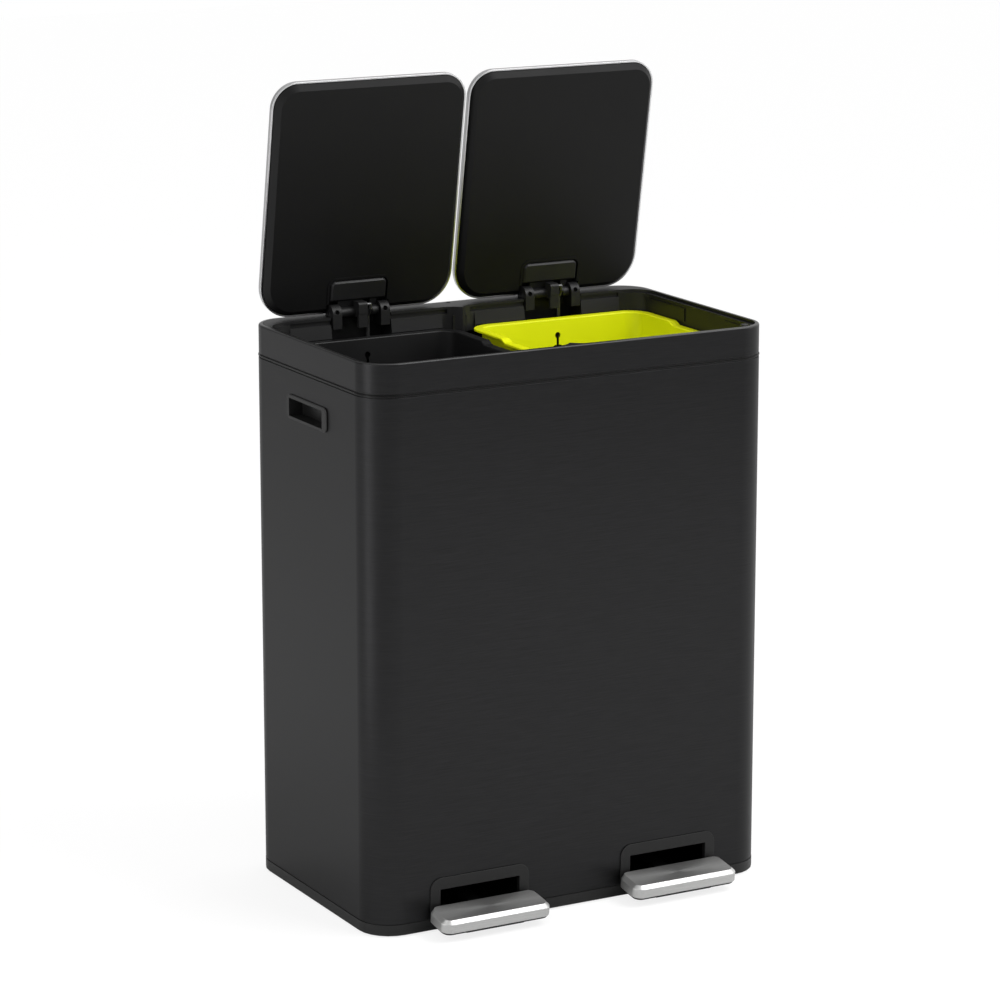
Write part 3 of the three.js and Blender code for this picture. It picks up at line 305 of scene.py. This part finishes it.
class Finish:
    """A material whose nodes are added one by one."""

    def __init__(self, name):
        self.material = bpy.data.materials.new(name)
        self.material.use_nodes = True
        self.tree = self.material.node_tree
        self.shader = self.tree.nodes["Principled BSDF"]

    def node(self, kind, inputs=None, **settings):
        made = self.tree.nodes.new(kind)
        for key, value in settings.items():
            setattr(made, key, value)
        for key, value in (inputs or {}).items():
            self.feed(made.inputs[key], value)
        return made

    def feed(self, socket, value):
        if isinstance(value, bpy.types.NodeSocket):
            self.tree.links.new(value, socket)
        else:
            socket.default_value = value

    def set(self, **values):
        for key, value in values.items():
            self.feed(self.shader.inputs[key.replace("_", " ")], value)
        return self

    def place(self, scale):
        spot = self.node("ShaderNodeTexCoord").outputs["Object"]
        mapped = self.node("ShaderNodeMapping", {"Vector": spot, "Scale": scale})
        return mapped.outputs["Vector"]

    def noise(self, scale, detail=3.0, size=1.0, rough=0.5):
        made = self.node(
            "ShaderNodeTexNoise",
            {"Vector": self.place(scale), "Scale": size, "Detail": detail, "Roughness": rough},
        )
        return made.outputs["Fac"]

    def between(self, factor, low, high, start=0.3, end=0.7):
        made = self.node(
            "ShaderNodeMapRange",
            {"Value": factor, "From Min": start, "From Max": end, "To Min": low, "To Max": high},
        )
        return made.outputs["Result"]

    def blend(self, factor, first, second):
        made = self.node("ShaderNodeMix", data_type="RGBA")
        self.feed(made.inputs[0], factor)
        self.feed(made.inputs[6], first)
        self.feed(made.inputs[7], second)
        return made.outputs[2]

    def bump(self, height, distance, strength=1.0, under=None):
        made = self.node(
            "ShaderNodeBump", {"Height": height, "Distance": distance, "Strength": strength}
        )
        if under:
            self.feed(made.inputs["Normal"], under)
        return made.outputs["Normal"]


# %% Brushed sheet


SCRATCH_DEPTH = 0.00001


def brushed(name, dark, light, roughness, grain, anisotropy, painted_highlight_band=None):
    """Steel with fine scratches. grain is the stretch of the noise along x, y and z.

    The last argument gives two heights between which the steel is painted a light grey: a painted
    highlight that stands in for the light a rolled top edge catches.
    """
    look = Finish(name)
    long = look.noise(grain, detail=5, rough=0.65)
    short = look.noise([g * 2.3 for g in grain], detail=3, rough=0.6)
    streaks = look.node("ShaderNodeMath", {0: long, 1: short}, operation="ADD").outputs[0]
    tone = look.between(streaks, 0, 1, 0.65, 1.35)
    color = look.blend(tone, (*dark, 1), (*light, 1))
    rough = look.between(streaks, roughness - 0.03, roughness + 0.05, 0.65, 1.35)
    # Painted highlight: between the two heights the colour turns to a light grey, for the light that a
    # rolled top edge catches.
    if painted_highlight_band:
        spot = look.node("ShaderNodeTexCoord").outputs["Object"]
        height = look.node("ShaderNodeSeparateXYZ", {0: spot}).outputs["Z"]
        highlight_share = look.between(height, 0, 1, painted_highlight_band[0], painted_highlight_band[1])
        color = look.blend(highlight_share, color, (0.11, 0.11, 0.11, 1))
    look.set(
        Base_Color=color,
        Metallic=1.0,
        Roughness=rough,
        Anisotropic=anisotropy,
        Normal=look.bump(streaks, SCRATCH_DEPTH, 0.5),
    )
    look.shader.inputs["Anisotropic Rotation"].default_value = 0.0
    tangent = look.node("ShaderNodeTangent", direction_type="RADIAL", axis="Z")
    look.feed(look.shader.inputs["Tangent"], tangent.outputs["Tangent"])
    return look.material


GRAIN = (22, 22, 2600)
housing_steel = brushed(
    "dark brushed steel", (0.018, 0.018, 0.0183), (0.033, 0.033, 0.034), 0.33, GRAIN, 0.8
)
# The rim's top millimetre gets a painted highlight, for the light line along its rolled edge.
rim_steel = brushed(
    "dark brushed rim",
    (0.018, 0.018, 0.0183),
    (0.033, 0.033, 0.034),
    0.33,
    GRAIN,
    0.6,
    painted_highlight_band=(0.6351, 0.636),
)
trim_steel = brushed(
    "dark brushed trim", (0.012, 0.012, 0.012), (0.018, 0.018, 0.018), 0.3, GRAIN, 0.5
)
edge_steel = brushed(
    "bright brushed edge", (0.46, 0.46, 0.465), (0.6, 0.6, 0.605), 0.3, (12, 1600, 1600), 0.3
)
pedal_steel = brushed(
    "bright brushed pedal", (0.4, 0.4, 0.395), (0.54, 0.54, 0.535), 0.45, (14, 1800, 1800), 0.3
)

# %% [markdown]
# Moulded plastic is dull where the mould was etched and never perfectly even. A fine noise gives the
# etched skin, and a slow one gives faint changes of gloss.

# %% Moulded plastic, rubber and wire


def moulded(name, color, shade_of, roughness, grain=0.00004, level=0.5):
    look = Finish(name)
    slow = look.noise((9, 9, 9), detail=2)
    skin = look.noise((1700, 1700, 1700), detail=2)
    look.set(
        Base_Color=look.blend(look.between(slow, 0, 1), (*color, 1), (*shade_of, 1)),
        Roughness=look.between(slow, roughness - 0.04, roughness + 0.05),
        Specular_IOR_Level=level,
        Normal=look.bump(skin, grain, 0.5),
    )
    return look.material


black_plastic = moulded(
    "black moulded plastic", (0.007, 0.007, 0.0072), (0.009, 0.009, 0.0093), 0.45, level=0.28
)
lid_plastic = moulded(
    "black lid plastic", (0.0028, 0.0028, 0.0029), (0.0042, 0.0042, 0.0043), 0.5, level=0.16
)
base_plastic = moulded(
    "black base plastic", (0.008, 0.008, 0.008), (0.011, 0.011, 0.011), 0.42, level=0.25
)
bucket_black = moulded(
    "black bucket plastic", (0.006, 0.006, 0.0062), (0.008, 0.008, 0.0082), 0.42, level=0.28
)
bucket_lime = moulded(
    "lime bucket plastic", (0.7, 0.75, 0.002), (0.76, 0.81, 0.003), 0.45, level=0.25
)
soft_rubber = moulded("black rubber", (0.02, 0.02, 0.02), (0.03, 0.03, 0.03), 0.75, 0.00008)


def drawn_wire(name, color, roughness):
    look = Finish(name)
    dull = look.noise((400, 400, 60), detail=4)
    look.set(
        Base_Color=look.blend(dull, (*[c * 0.8 for c in color], 1), (*color, 1)),
        Metallic=1.0,
        Roughness=look.between(dull, roughness - 0.06, roughness + 0.1),
        Normal=look.bump(dull, 0.00002, 0.4),
    )
    return look.material


wire_steel = drawn_wire("blackened wire", (0.09, 0.09, 0.09), 0.38)
print("finishes:", len(bpy.data.materials))

# %% [markdown]
# ## Housing
# One steel sheet is wrapped round the whole bin, so its corners are one smooth bend and its grain runs
# level all the way round. It is made again here with finer corners than the exact solid has.

# %% Put a piece in its place in the frame


def dress(made, body, finish, replaced=()):
    """Gives the piece its finish, lets it ride on its body, and hides the solids it stands for."""
    made.data.materials.clear()
    made.data.materials.append(finish)
    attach(made, body)
    if replaced:
        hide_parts(*replaced)
    return made


def keep(name, finish, width, segments=2, angle=30):
    """A kept solid gets a finish and soft edges; its own mesh stays as it is."""
    solid = nodes[name]
    solid.data.materials.clear()
    solid.data.materials.append(finish)
    return soften(solid, width, segments, angle, merge=True)


body_plan = plan((-WIDTH / 2, WIDTH / 2), (FRONT, BACK), CORNER_R)

# %% Wrapped shell with its slots
SHEET = 0.9
SHELL_FOOT, SHELL_TOP = 15, 598.7
shell_section = [(0, SHELL_FOOT), (0, SHELL_TOP), (SHEET, SHELL_TOP), (SHEET, SHELL_FOOT)]
shell = section_hoop("housing_wrap", body_plan, shell_section, [0.2, 0.8, 0.1, 0.2], arc=4)
SLOT_HALF, SLOT_TOP = 98.5 / 2, 46.8
SLOT_WALL = 2.3
slot_half = SLOT_HALF + SLOT_WALL
CUP_HALF, CUP_BOTTOM, CUP_TOP = 42.8, 546, 570.6
for name, side in SIDES:
    middle = side * PEDAL_X
    slot_outline = box_outline(middle - slot_half, middle + slot_half, 5, SLOT_TOP + SLOT_WALL, 1.5)
    cut_out(shell, slab("slot", slot_outline, "Y", FRONT - 6, FRONT + 6))
    low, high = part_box(f"handle_cup_{name}")
    cup_y = (low.y + high.y) / 2 / MM + 2.5
    cup_outline = box_outline(cup_y - CUP_HALF, cup_y + CUP_HALF, CUP_BOTTOM, CUP_TOP, 2)
    cut_out(shell, slab("cup", cup_outline, "X", side * (WIDTH / 2 - 6), side * (WIDTH / 2 + 6)))
shade(shell)
dress(shell, "housing", housing_steel, ["body_shell"])
print("shell faces:", len(shell.data.polygons))

# %% [markdown]
# The rim is a second band of the same steel. Its top edge is rolled over and folded in; the light line
# round the top is that roll plus a painted highlight on its top millimetre. A thin dark ring separates
# it from the housing.

# %% Rim band and trim ring
RIM_FOOT, RIM_LEDGE, RIM_SHEET = 603.8, 5, 0.6
rim_section = [
    (0.3, RIM_FOOT),
    (0.3, RIM_TOP),
    (RIM_LEDGE, RIM_TOP),
    (RIM_LEDGE, RIM_TOP - RIM_SHEET),
    (0.3 + RIM_SHEET, RIM_TOP - RIM_SHEET),
    (0.3 + RIM_SHEET, RIM_FOOT),
]
rim = section_hoop("rim_wrap", body_plan, rim_section, [0.2, 2.2, 0.2, 0.1, 1.2, 0.1], arc=5)
shade(rim)
dress(rim, "housing", rim_steel, ["rim_band"])

TRIM_FOOT, TRIM_TOP, TRIM_PROUD = 600.4, 602.1, 0.4
trim_section = [
    (-TRIM_PROUD, TRIM_FOOT),
    (-TRIM_PROUD, TRIM_TOP),
    (SHEET, TRIM_TOP),
    (SHEET, TRIM_FOOT),
]
trim = section_hoop("trim_line", body_plan, trim_section, 0.3, arc=3)
shade(trim)
dress(trim, "housing", trim_steel, ["trim_ring"])

# %% Small fixed pieces that keep their solids
for name, side in SIDES:
    keep(f"handle_cup_{name}", base_plastic, 0.5)
    keep(f"pedal_bezel_{name}", base_plastic, 0.5)
    keep(f"hinge_block_{name}", black_plastic, 0.5)
    keep(f"hinge_leaf_{name}", black_plastic, 0.5)
    keep(f"pedal_carrier_{name}", black_plastic, 0.6)
    keep(f"pedal_shoe_{name}", soft_rubber, 0.4)
    keep(f"pedal_lever_{name}", wire_steel, 0.4)
    keep(f"lever_bracket_{name}", wire_steel, 0.4)
    keep(f"lever_axle_{name}", wire_steel, 0.4)
    keep(f"push_rod_{name}", wire_steel, 0.2, angle=50)
    keep(f"hinge_pin_outer_{name}", wire_steel, 0.3)
    keep(f"hinge_pin_inner_{name}", wire_steel, 0.3)
    keep(f"lid_bumper_{name}", soft_rubber, 0.4)
    for end in ("front", "rear"):
        keep(f"foot_{end}_{name}", soft_rubber, 0.3)
keep("bucket_shelf", black_plastic, 0.5)
keep("rim_plug", soft_rubber, 0.3)
keep("base_tray", base_plastic, 0.6)
keep("collar", black_plastic, 0.6)

# %% [markdown]
# ## Lids
# Each lid is a shallow pressed steel cap with a hem, and a black moulded panel clipped inside it. They
# are built lying closed, level with the hinge axis, and then turned up to where the photograph has
# them.

# %% Lid frame
# heights of the hem, the top and the inner panel's face, above the hinge axis with the lid shut
LID_HEM_Z, LID_TOP_Z, LID_FACE_Z = 9.4, 16.9, 1.9
LID_SHEET = 0.6
# the room that the hinge's knuckles turn in
SWEEP_HALF, SWEEP_R = 38.7, 10.8


LID_OUTER, LID_INNER = 242, 1.9
LID_SETBACK, LID_OVERHANG = 11.1, 2.9
LID_FRONT_R, LID_BACK_R = 30, 39


def lid_plan(side):
    """The lid's outline from above, with y counted from the hinge axis."""
    span = (-LID_OUTER, -LID_INNER) if side < 0 else (LID_INNER, LID_OUTER)
    return plan(span, (FRONT + LID_SETBACK - HINGE_Y, LID_OVERHANG), LID_FRONT_R, LID_BACK_R)


def turned(made, angle, y, z):
    """Turns the mesh about the x axis through (y, z), from where it was drawn about the origin."""
    place = Matrix.Translation((0, y * MM, z * MM)) @ Matrix.Rotation(angle, 4, "X")
    made.data.transform(place)
    return made


def rod(name, start, end, radius, sides=32):
    """A round bar along x, y or z between two points."""
    axis = "XYZ"[[abs(a - b) > 1e-6 for a, b in zip(start, end)].index(True)]
    k = "XYZ".index(axis)
    a, b = [c for i, c in enumerate(start) if i != k]
    circle = [
        (a + radius * math.cos(2 * math.pi * i / sides), b + radius * math.sin(2 * math.pi * i / sides))
        for i in range(sides)
    ]
    return slab(name, circle, axis, start[k], end[k])


# %% Lid skins
for name, side in SIDES:
    shape = lid_plan(side)
    skin_section = [
        (6.0, LID_TOP_Z - LID_SHEET),
        (LID_SHEET, LID_TOP_Z - LID_SHEET),
        (LID_SHEET, LID_HEM_Z + LID_SHEET),
        (2.0, LID_HEM_Z + LID_SHEET),
        (2.0, LID_HEM_Z),
        (0.0, LID_HEM_Z),
        (0.0, LID_TOP_Z),
        (6.0, LID_TOP_Z),
    ]
    skin = section_hoop(
        f"lid_cap_{name}", shape, skin_section, [0, 4.4, 0.2, 0.2, 0.3, 0.5, 5, 0], False, 18, arc=8
    )
    x = side * HINGE_X
    cut_out(skin, rod("sweep", (x - SWEEP_HALF, 0, 0), (x + SWEEP_HALF, 0, 0), SWEEP_R))
    shade(skin)
    turned(skin, -LID_OPEN, HINGE_Y, HINGE_Z)
    dress(skin, f"lid_{name}", edge_steel, [f"lid_skin_{name}"])

# %% Lid inner panels
POCKET_FAR, POCKET_DEPTH, LIP_WIDTH = -40.7, 9.4, 2.5
for name, side in SIDES:
    shape = lid_plan(side)
    x = side * HINGE_X
    panel_section = [
        (8.4, LID_FACE_Z),
        (2.4, LID_HEM_Z - 1),
        (2.4, LID_HEM_Z + 4),
        (4.6, LID_HEM_Z + 4),
        (4.6, LID_HEM_Z),
        (9.9, LID_FACE_Z + 2.2),
    ]
    panel = section_hoop(
        f"lid_inner_{name}", shape, panel_section, [0, 1.2, 0.4, 0.3, 1, 0], False, 18, arc=4
    )
    lip = box_outline(x - SWEEP_HALF, x + SWEEP_HALF, POCKET_FAR, 0.3, (10, 10, 1, 1), 8)
    add_on(panel, slab("pocket wall", lip, "Z", LID_FACE_Z - 0.7, LID_FACE_Z + POCKET_DEPTH + 1.5))
    pocket = box_outline(
        x - SWEEP_HALF + LIP_WIDTH,
        x + SWEEP_HALF - LIP_WIDTH,
        POCKET_FAR + LIP_WIDTH,
        4,
        (7.5, 7.5, 1, 1),
        8,
    )
    cut_out(
        panel,
        slab("pocket", pocket, "Z", LID_FACE_Z - 2, LID_FACE_Z + POCKET_DEPTH),
        rod("sweep", (x - SWEEP_HALF, 0, 0), (x + SWEEP_HALF, 0, 0), SWEEP_R),
    )
    soften(panel, 0.5, 3)
    turned(panel, -LID_OPEN, HINGE_Y, HINGE_Z)
    dress(panel, f"lid_{name}", lid_plastic, [f"lid_panel_{name}"])

# %% [markdown]
# ## Pedals
# Each pedal cap is pressed from bright steel. Its front and sides have a sloping border, and the flat
# top runs on to the rear edge. It is drawn level and then tipped eight degrees, as a foot leaves it.

# %% Pedal caps
# heights above the lever's pivot, and the width of the sloping border
PEDAL_TOP, PEDAL_KNEE, PEDAL_LOW, PEDAL_BORDER = 11.8, 7.8, -2.2, 4.7
PEDAL_HALF, PEDAL_DEPTH, PEDAL_R, PEDAL_SHEET = 67, 42, 11, 1.2
LEVER_NOTCH_HALF = 8.3
pedal_back = (
    (FRONT - 1.5 - 1 - PIVOT_Y) + (PEDAL_LOW - 3) * math.sin(PEDAL_DOWN)
) / math.cos(PEDAL_DOWN)


def pedal_ring(x, inset, z):
    """One ring of the cap: above the knee the rear edge hardly moves in."""
    rear = min(inset, 1.3)
    radius = max(PEDAL_R - inset, 4)
    across = (x - PEDAL_HALF + inset, x + PEDAL_HALF - inset)
    along = (pedal_back - PEDAL_DEPTH + inset, pedal_back - rear)
    return ring(plan(across, along, radius), 0, z, 14)


for name, side in SIDES:
    x = side * PEDAL_X
    cap_section = [
        (PEDAL_BORDER + 1, PEDAL_TOP - PEDAL_SHEET),
        (PEDAL_SHEET, PEDAL_KNEE - 0.7),
        (PEDAL_SHEET, PEDAL_LOW),
        (0, PEDAL_LOW),
        (0, PEDAL_KNEE),
        (PEDAL_BORDER, PEDAL_TOP),
    ]
    section = fillet(cap_section, [0, 1, 0.3, 0.4, 1.6, 0], 5, closed=False)
    cap = hoop(f"pedal_plate_{name}", [pedal_ring(x, inset, z) for inset, z in section], False)
    notch = box_outline(x - LEVER_NOTCH_HALF, x + LEVER_NOTCH_HALF, PEDAL_LOW - 4, 2.8)
    cut_out(cap, slab("notch", notch, "Y", pedal_back - 20, pedal_back + 5))
    soften(cap, 0.5, 3, 15)
    turned(cap, PEDAL_DOWN, PIVOT_Y, PIVOT_Z)
    dress(cap, f"pedal_{name}", pedal_steel, [f"pedal_cap_{name}"])

# %% [markdown]
# ## Buckets
# The buckets are moulded with slightly sloping walls, so that they come out of the mould, and a flat
# rim that dips at the sides, where the fingers go. The keyhole in the back wall holds the bag.

# %% Buckets
BUCKET_TOP, BUCKET_FOOT = 612, 52.3
BUCKET_OUTER, BUCKET_INNER, BUCKET_R = 238, 7.5, 28
EYE_Z, EYE_R, SLIT_HALF, HOLE_Z, HOLE_R = 593, 3.6, 1.65, 569, 13
GRIP_FADE, GRIP_DEPTH = 12, 4
grip = (MIDDLE_Y - 62, MIDDLE_Y + 34)


def grip_dip(y):
    """How far the bucket's rim drops at y: full depth in the grip, fading out at both ends."""
    rise = max(grip[0] - y, y - (grip[1] - GRIP_FADE)) / GRIP_FADE
    rise = min(max(rise, 0), 1)
    return -GRIP_DEPTH * (1 - rise * rise * (3 - 2 * rise))


grip_stops = [end - GRIP_FADE + k * 2 for end in grip for k in range(7)]
for name, side in SIDES:
    span = (-BUCKET_OUTER, -BUCKET_INNER) if side < 0 else (BUCKET_INNER, BUCKET_OUTER)
    shape = plan(span, (FRONT + 13, BACK - 35), BUCKET_R, stops=tuple(grip_stops))
    rings = []
    wall = [
        ((24, BUCKET_FOOT), 0, False),
        ((19, BUCKET_FOOT + 5), 4, False),
        ((9, BUCKET_TOP - 2.5), 1, True),
        ((0, BUCKET_TOP - 2.5), 0.6, True),
        ((0, BUCKET_TOP), 0.8, True),
        ((11, BUCKET_TOP), 1.6, True),
        ((21, BUCKET_FOOT + 6), 4, False),
        ((26, BUCKET_FOOT + 2), 0, False),
    ]
    rounded = fillet([p for p, _, _ in wall], [r for _, r, _ in wall], 4, closed=False)
    for inset, z in rounded:
        dips = grip_dip if z > BUCKET_TOP - 20 else None
        rings.append(ring(shape, inset, z, 14, dips))
    tub = hoop(f"tub_{name}", rings, False)
    x = (span[0] + span[1]) / 2
    keyhole_y = (BACK - 60, BACK - 30)
    cut_out(
        tub,
        rod("eye", (x, keyhole_y[0], EYE_Z), (x, keyhole_y[1], EYE_Z), EYE_R),
        slab("slit", box_outline(x - SLIT_HALF, x + SLIT_HALF, HOLE_Z + 1, EYE_Z - 1), "Y", *keyhole_y),
        rod("hole", (x, keyhole_y[0], HOLE_Z), (x, keyhole_y[1], HOLE_Z), HOLE_R, 48),
    )
    shade(tub)
    finish = bucket_black if side < 0 else bucket_lime
    dress(tub, f"bin_{name}", finish, [f"bucket_{name}"])
    print(tub.name, "faces:", len(tub.data.polygons))

# %% [markdown]
# ## Floor and light
# A pale floor and a soft studio light. Part of what the camera sees of the floor is a plain white glow,
# so that the floor runs into the white background, and the rest is its own shading: that keeps the
# bin's shadow.

# %% Floor
SPAN = 9000
GLOW_SHARE, GLOW_LEVEL = 0.72, 1.12
floor = mesh_object(
    "floor", [(-SPAN, -SPAN, 0), (SPAN, -SPAN, 0), (SPAN, SPAN, 0), (-SPAN, SPAN, 0)], [(0, 1, 2, 3)]
)
ground = Finish("pale floor")
speck = ground.noise((30, 30, 30), detail=2)
ground.set(
    Base_Color=ground.blend(speck, (0.8, 0.8, 0.8, 1), (0.84, 0.84, 0.84, 1)),
    Roughness=0.9,
)
seen = ground.node("ShaderNodeLightPath").outputs["Is Camera Ray"]
part = ground.node("ShaderNodeMath", {0: seen, 1: GLOW_SHARE}, operation="MULTIPLY").outputs[0]
glow = ground.node("ShaderNodeEmission", {"Color": (1, 1, 1, 1), "Strength": GLOW_LEVEL})
mixed = ground.node("ShaderNodeMixShader", {0: part, 1: ground.shader.outputs[0], 2: glow.outputs[0]})
ground.feed(ground.tree.nodes["Material Output"].inputs["Surface"], mixed.outputs[0])
floor.data.materials.append(ground.material)

# %% [markdown]
# The room round the bin is drawn on the world as soft upright bands of light and shade. The steel
# shows them one after the other where it bends round a corner; the camera itself sees plain white.

# %% World
scene = bpy.context.scene
scene.view_settings.view_transform = "Standard"
world = bpy.data.worlds.new("studio")
scene.world = world
world.use_nodes = True
sky = world.node_tree
background = sky.nodes["Background"]
rays = sky.nodes.new("ShaderNodeLightPath")
direction = sky.nodes.new("ShaderNodeTexCoord")
split = sky.nodes.new("ShaderNodeSeparateXYZ")
sky.links.new(direction.outputs["Generated"], split.inputs[0])
bearing = sky.nodes.new("ShaderNodeMath")
bearing.operation = "ARCTAN2"
sky.links.new(split.outputs["X"], bearing.inputs[0])
sky.links.new(split.outputs["Y"], bearing.inputs[1])
turn_share = sky.nodes.new("ShaderNodeMapRange")
sky.links.new(bearing.outputs[0], turn_share.inputs["Value"])
turn_share.inputs["From Min"].default_value = -math.pi
turn_share.inputs["From Max"].default_value = math.pi
bands = sky.nodes.new("ShaderNodeValToRGB")
sky.links.new(turn_share.outputs[0], bands.inputs["Fac"])
bands.color_ramp.interpolation = "EASE"
# compass bearing in degrees, clockwise from the back of the bin, and the light from there
MOST_LIGHT = 1.5
BANDS = [
    (-180, 0.45),
    (-150, 0.8),
    (-112, 0.75),
    (-86, 1.5),
    (-56, 0.2),
    (-30, 0.5),
    (20, 0.7),
    (80, 1.3),
    (120, 1.1),
    (145, 0.75),
    (168, 0.15),
    (180, 0.45),
]
ramp = bands.color_ramp.elements
while len(ramp) < len(BANDS):
    ramp.new(0.5)
for element, (degrees, value) in zip(ramp, BANDS):
    element.position = (degrees + 180) / 360
    element.color = (value / MOST_LIGHT, value / MOST_LIGHT, value / MOST_LIGHT, 1)
lit = sky.nodes.new("ShaderNodeMath")
lit.operation = "MULTIPLY"
sky.links.new(bands.outputs["Color"], lit.inputs[0])
lit.inputs[1].default_value = MOST_LIGHT
pick = sky.nodes.new("ShaderNodeMix")
pick.data_type = "FLOAT"
sky.links.new(rays.outputs["Is Camera Ray"], pick.inputs[0])
sky.links.new(lit.outputs[0], pick.inputs[2])
pick.inputs[3].default_value = 1.0
background.inputs["Color"].default_value = (1, 1, 1, 1)
sky.links.new(pick.outputs[0], background.inputs["Strength"])
print("bands of light round the bin:", len(BANDS))

# %% Lamps


def lamp(name, place, target, size, power):
    data = bpy.data.lights.new(name, "AREA")
    data.shape = "RECTANGLE"
    data.size, data.size_y = size
    data.energy = power
    made = bpy.data.objects.new(name, data)
    scene.collection.objects.link(made)
    made.location = place
    aim = Vector(target) - Vector(place)
    made.rotation_euler = aim.to_track_quat("-Z", "Y").to_euler()
    made.visible_camera = False
    return made


lamp("key light", (1.1, -1.3, 2.5), (0, 0, 0.4), (1.8, 1.4), 44)
lamp("right light", (2.4, -1.2, 1.3), (0.1, 0, 0.4), (0.7, 2.0), 16)
lamp("left strip", (-1.1, -0.13, 0.8), (-0.212, -0.1, 0.7), (0.07, 1.6), 4)
